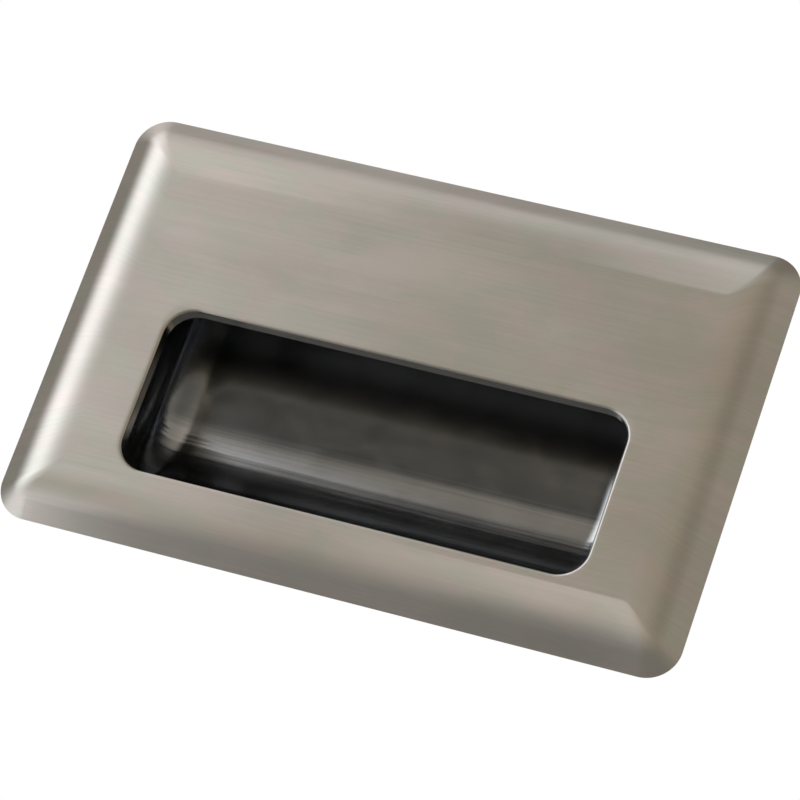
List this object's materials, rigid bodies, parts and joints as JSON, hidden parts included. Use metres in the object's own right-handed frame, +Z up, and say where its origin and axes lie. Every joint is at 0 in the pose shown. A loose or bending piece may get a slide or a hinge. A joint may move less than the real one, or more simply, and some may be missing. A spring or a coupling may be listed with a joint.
{
  "type": "flush pull",
  "caption": "Recessed flush pull with a bevelled satin steel face plate, an off-centre rounded finger opening and a scooped cup behind it, held by rear studs.",
  "frame": {"origin": "centre of the mounting plane, where the rim of the face plate meets the door, midway between the two studs", "axes": "+Z up the door, +X to the right across the face, +Y into the door, so the face looks along -Y"},
  "size_m": [0.12, 0.0168, 0.077],
  "materials": {
    "satin_steel": "satin, with a fine straight grain along the width",
    "bright_steel": "bright rolled, smooth",
    "fixing_steel": "bright turned",
    "spring_steel": "plain, slightly dull"
  },
  "bodies": {
    "root": {"face_plate": "satin_steel", "finger_cup": "bright_steel", "weld_studs": "fixing_steel", "plain_washers": "fixing_steel", "spring_washers": "spring_steel", "hex_nuts": "fixing_steel"}
  },
  "joints": []
}
